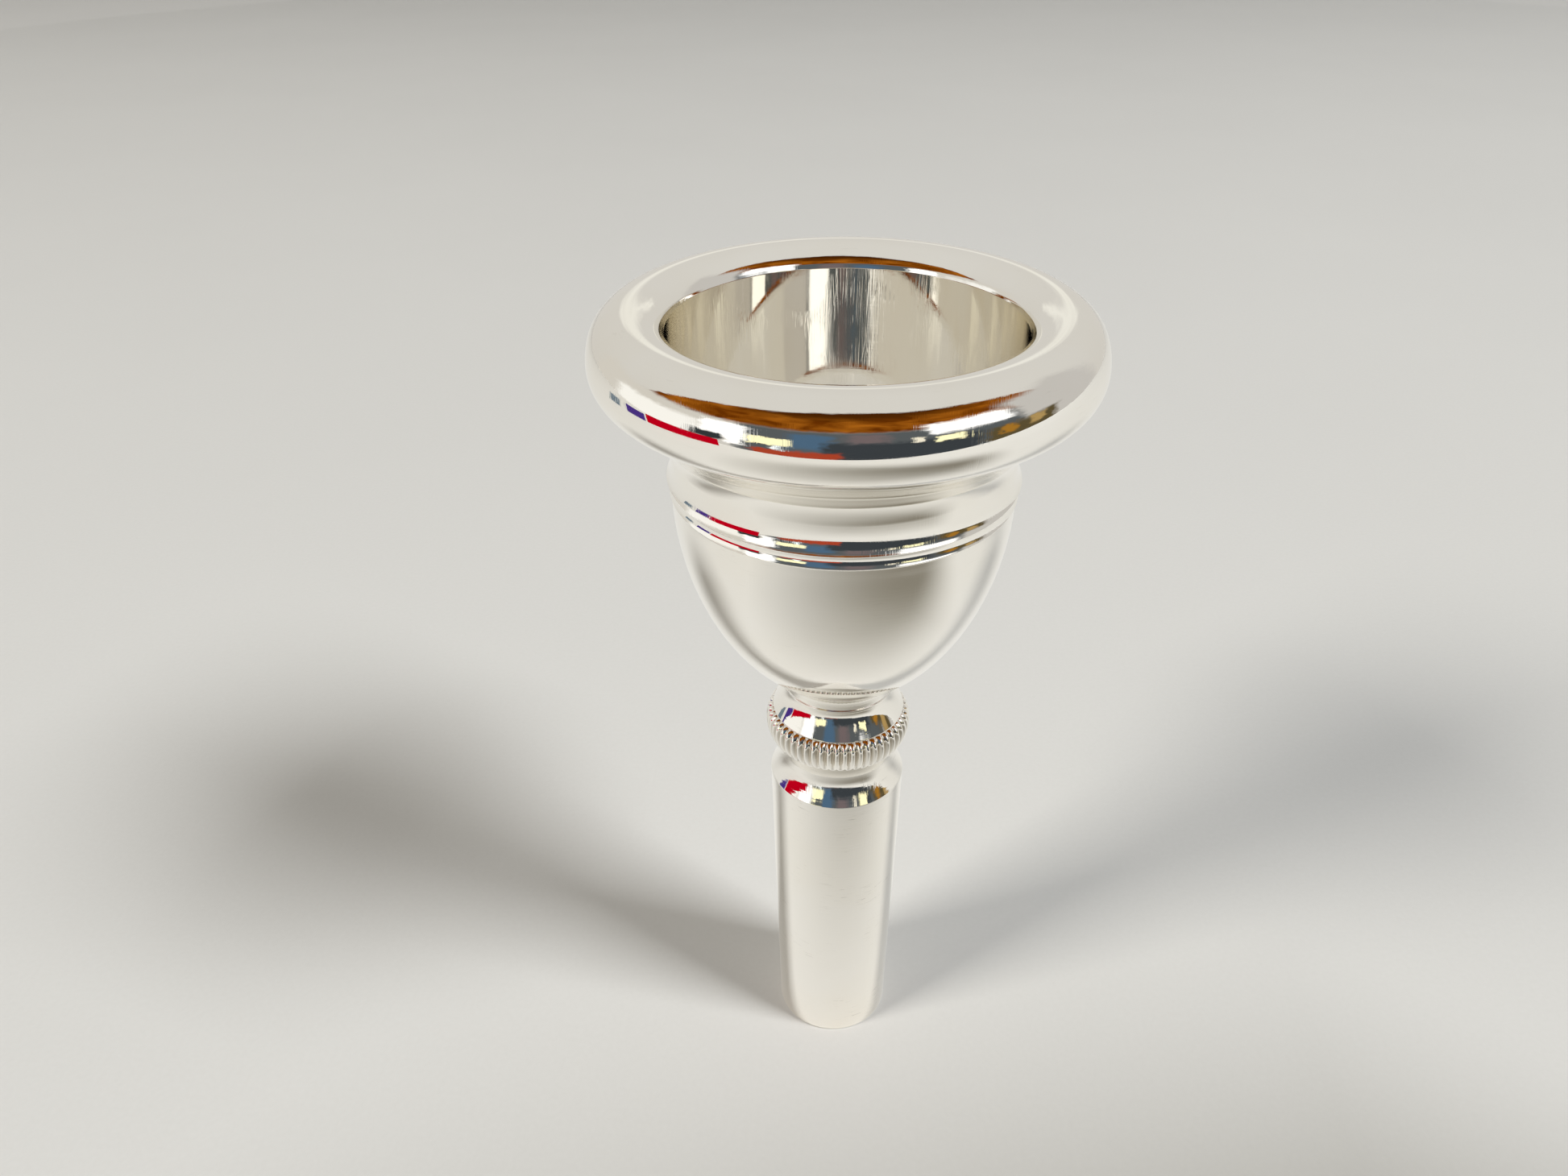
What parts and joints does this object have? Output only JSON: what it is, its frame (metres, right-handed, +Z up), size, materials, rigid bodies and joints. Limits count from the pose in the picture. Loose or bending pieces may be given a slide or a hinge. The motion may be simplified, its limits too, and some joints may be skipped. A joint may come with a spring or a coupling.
{
  "type": "tuba mouthpiece",
  "caption": "Silver-plated mouthpiece with a rounded rim, funnel cup, fluted collar and tapered shank; the rim and the cup unscrew.",
  "frame": {"origin": "centre of the shank's flat end face, which the part stands on", "axes": "+Z up along the axis of the bore, from the shank towards the rim"},
  "size_m": [0.047, 0.047, 0.0924],
  "materials": {
    "shank": "silver plate, mirror polished, lightly worn where it slides into the receiver",
    "cup": "silver plate, mirror polished",
    "rim": "silver plate, mirror polished, fine polishing scratches"
  },
  "bodies": {
    "shank": {"shank": "shank"},
    "cup": {"cup": "cup"},
    "rim": {"rim": "rim"}
  },
  "joints": [
    {"name": "cup_unscrews", "type": "slide", "parent": "shank", "child": "cup", "axis": [0, 0, 1], "range_m": [0, 0.012]},
    {"name": "rim_unscrews", "type": "slide", "parent": "cup", "child": "rim", "axis": [0, 0, 1], "range_m": [0, 0.01]}
  ]
}
